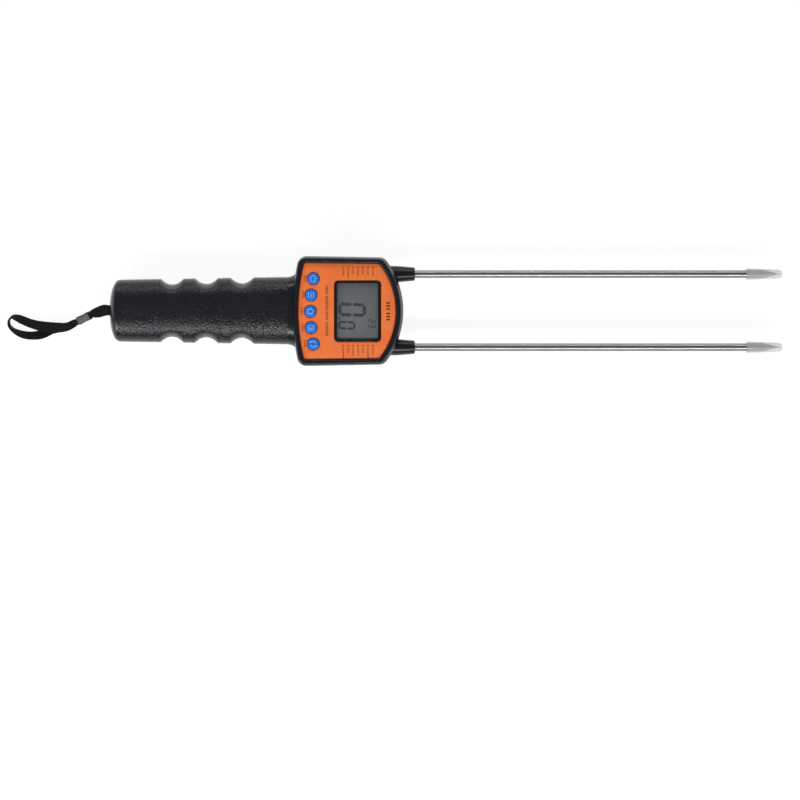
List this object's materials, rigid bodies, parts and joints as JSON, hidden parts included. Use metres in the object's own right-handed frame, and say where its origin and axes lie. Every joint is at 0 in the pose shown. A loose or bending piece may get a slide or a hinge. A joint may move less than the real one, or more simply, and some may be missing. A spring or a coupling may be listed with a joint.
{
  "type": "grain moisture meter",
  "caption": "Hand-held two-pin moisture meter: keyed display head, notched handle, long steel probe rods with clear tip caps, and a wrist strap.",
  "frame": {"origin": "bottom centre of the box round the meter without its wrist strap, on the surface that its back rests on", "axes": "+X along the probes towards their tips, +Z out of the front panel, +Y to the user's left when the meter is held with the probes pointing away"},
  "size_m": [0.5316, 0.0748, 0.035],
  "materials": {
    "casing_black": "moulded ABS, fine leather grain on the handle and satin on the head",
    "panel_orange": "satin printed polycarbonate film",
    "frame_black": "polished ABS",
    "window_clear": "clear acrylic, polished",
    "lcd_grey": "reflective grey liquid crystal cell",
    "key_blue": "moulded key cap, satin dome",
    "silicone_grey": "moulded silicone, matt",
    "board_green": "glass-epoxy circuit board with green solder mask",
    "chip_black": "moulded epoxy",
    "ribbon_amber": "polyimide film",
    "probe_steel": "ground stainless rod",
    "collar_black": "glossy moulded nylon",
    "cap_clear": "clear soft vinyl",
    "fastener_steel": "zinc plated",
    "contact_steel": "nickel plated spring steel",
    "battery_jacket": "printed foil jacket, plain and unmarked",
    "wire_red": "soft insulation",
    "wire_black": "soft insulation",
    "wire_grey": "soft insulation",
    "strap_black": "woven nylon band",
    "clamp_metal": "brushed, pressed sleeve"
  },
  "bodies": {
    "meter": {"front_shell": "casing_black", "rear_shell": "casing_black", "panel_overlay": "panel_orange", "lcd_frame": "frame_black", "lcd_window": "window_clear", "lcd_module": "lcd_grey", "lcd_ribbon": "ribbon_amber", "main_board": "board_green", "controller_chip": "chip_black", "keypad_membrane": "silicone_grey", "left_probe": "probe_steel", "right_probe": "probe_steel", "left_collar": "collar_black", "right_collar": "collar_black", "left_probe_nut": "fastener_steel", "right_probe_nut": "fastener_steel", "left_probe_lead": "wire_grey", "right_probe_lead": "wire_grey", "red_battery_wire": "wire_red", "black_battery_wire": "wire_black", "bridge_contact": "contact_steel", "positive_contact": "contact_steel", "negative_contact": "contact_steel", "bridge_spring": "contact_steel", "negative_spring": "contact_steel", "strap_bar": "probe_steel", "wrist_strap": "strap_black", "strap_clamp": "clamp_metal", "battery_1": "battery_jacket", "head_screw_1": "fastener_steel", "battery_2": "battery_jacket", "head_screw_2": "fastener_steel", "battery_3": "battery_jacket", "head_screw_3": "fastener_steel", "battery_4": "battery_jacket", "head_screw_4": "fastener_steel", "handle_screw_1": "fastener_steel", "handle_screw_2": "fastener_steel"},
    "power_key": {"power_key": "key_blue"},
    "menu_key": {"menu_key": "key_blue"},
    "home_key": {"home_key": "key_blue"},
    "list_key": {"list_key": "key_blue"},
    "cycle_key": {"cycle_key": "key_blue"},
    "battery_cover": {"battery_cover": "casing_black"},
    "left_tip_cap": {"left_tip_cap": "cap_clear"},
    "right_tip_cap": {"right_tip_cap": "cap_clear"}
  },
  "joints": [
    {"name": "power_key_press", "type": "slide", "parent": "meter", "child": "power_key", "axis": [0, 0, -1], "range_m": [0, 0.0006], "stiffness_N_per_m": 800},
    {"name": "menu_key_press", "type": "slide", "parent": "meter", "child": "menu_key", "axis": [0, 0, -1], "range_m": [0, 0.0006], "stiffness_N_per_m": 800},
    {"name": "home_key_press", "type": "slide", "parent": "meter", "child": "home_key", "axis": [0, 0, -1], "range_m": [0, 0.0006], "stiffness_N_per_m": 800},
    {"name": "list_key_press", "type": "slide", "parent": "meter", "child": "list_key", "axis": [0, 0, -1], "range_m": [0, 0.0006], "stiffness_N_per_m": 800},
    {"name": "cycle_key_press", "type": "slide", "parent": "meter", "child": "cycle_key", "axis": [0, 0, -1], "range_m": [0, 0.0006], "stiffness_N_per_m": 800},
    {"name": "battery_cover_hinge", "type": "hinge", "parent": "meter", "child": "battery_cover", "pos_m": [-0.1183, 0, 0.001], "axis": [0, -1, 0], "range_deg": [0, 70]},
    {"name": "left_tip_cap_pull", "type": "slide", "parent": "meter", "child": "left_tip_cap", "axis": [1, 0, 0], "range_m": [0, 0.028]},
    {"name": "right_tip_cap_pull", "type": "slide", "parent": "meter", "child": "right_tip_cap", "axis": [1, 0, 0], "range_m": [0, 0.028]}
  ]
}
